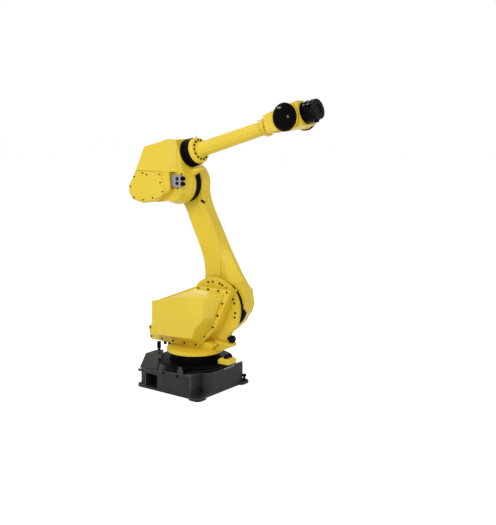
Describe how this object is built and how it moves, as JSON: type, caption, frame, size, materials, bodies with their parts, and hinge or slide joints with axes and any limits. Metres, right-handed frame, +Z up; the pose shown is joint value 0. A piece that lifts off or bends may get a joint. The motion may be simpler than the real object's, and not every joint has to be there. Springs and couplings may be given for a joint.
{
  "type": "industrial robot arm",
  "caption": "Floor-standing industrial robot arm: cast base, turning turret, side-mounted upper arm, elbow housing, slender forearm and bending wrist with a round tool flange.",
  "frame": {"origin": "where the turret's vertical axis meets the floor, on the base's underside", "axes": "+X forward to where the forearm points at rest, +Y to the robot's left, +Z up"},
  "size_m": [1.4509, 0.564, 1.9498],
  "materials": {
    "base_paint": "satin",
    "arm_paint": "satin",
    "black_paint": "satin",
    "bracket_paint": "satin",
    "stop_rubber": "matte",
    "gloss_cap": "gloss",
    "panel_grey": "satin",
    "connector_black": "matte",
    "flange_steel": "satin"
  },
  "bodies": {
    "base": {"base_casting": "base_paint", "base_disc": "base_paint", "base_drum": "black_paint", "cable_bracket": "bracket_paint", "cable_post": "stop_rubber", "turn_stop": "arm_paint", "stop_buffers": "stop_rubber"},
    "turret": {"turret_casting": "arm_paint", "stop_rubber": "stop_rubber", "motor_cover": "arm_paint"},
    "upper_arm": {"arm_casting": "arm_paint", "shoulder_seal": "stop_rubber", "elbow_drum": "black_paint", "shoulder_cap": "arm_paint", "elbow_cap": "arm_paint"},
    "elbow_housing": {"elbow_casting": "arm_paint", "elbow_rear_cover": "arm_paint", "elbow_side_cover": "arm_paint", "connector_panel": "panel_grey", "panel_connectors": "connector_black", "roll_ring": "black_paint"},
    "forearm": {"forearm_flange": "arm_paint", "forearm_tube": "arm_paint", "wrist_yoke": "arm_paint", "bending_cap_right": "gloss_cap", "bending_cap_left": "gloss_cap", "flange_nipple": "flange_steel", "tube_nipple": "flange_steel"},
    "wrist": {"wrist_body": "arm_paint", "tool_unit": "black_paint"},
    "tool_flange_body": {"tool_flange": "flange_steel"}
  },
  "joints": [
    {"name": "turret_turn", "type": "hinge", "parent": "base", "child": "turret", "pos_m": [0, 0, 0.258], "axis": [0, 0, 1], "range_deg": [-180, 180]},
    {"name": "shoulder_swing", "type": "hinge", "parent": "turret", "child": "upper_arm", "pos_m": [0.15, 0, 0.565], "axis": [0, 1, 0], "range_deg": [-72, 75]},
    {"name": "elbow_swing", "type": "hinge", "parent": "upper_arm", "child": "elbow_housing", "pos_m": [-0.11885, 0, 1.39242], "axis": [0, -1, 0], "range_deg": [-75, 170]},
    {"name": "forearm_roll", "type": "hinge", "parent": "elbow_housing", "child": "forearm", "pos_m": [0.03116, 0, 1.6134], "axis": [0.9598, 0, 0.2807], "range_deg": [-360, 360]},
    {"name": "wrist_bend", "type": "hinge", "parent": "forearm", "child": "wrist", "pos_m": [0.8086, 0, 1.84074], "axis": [0, 1, 0], "range_deg": [-125, 125]},
    {"name": "tool_turn", "type": "hinge", "parent": "wrist", "child": "tool_flange_body", "pos_m": [0.96217, 0, 1.88565], "axis": [0.9598, 0, 0.2807], "range_deg": [-360, 360]}
  ]
}
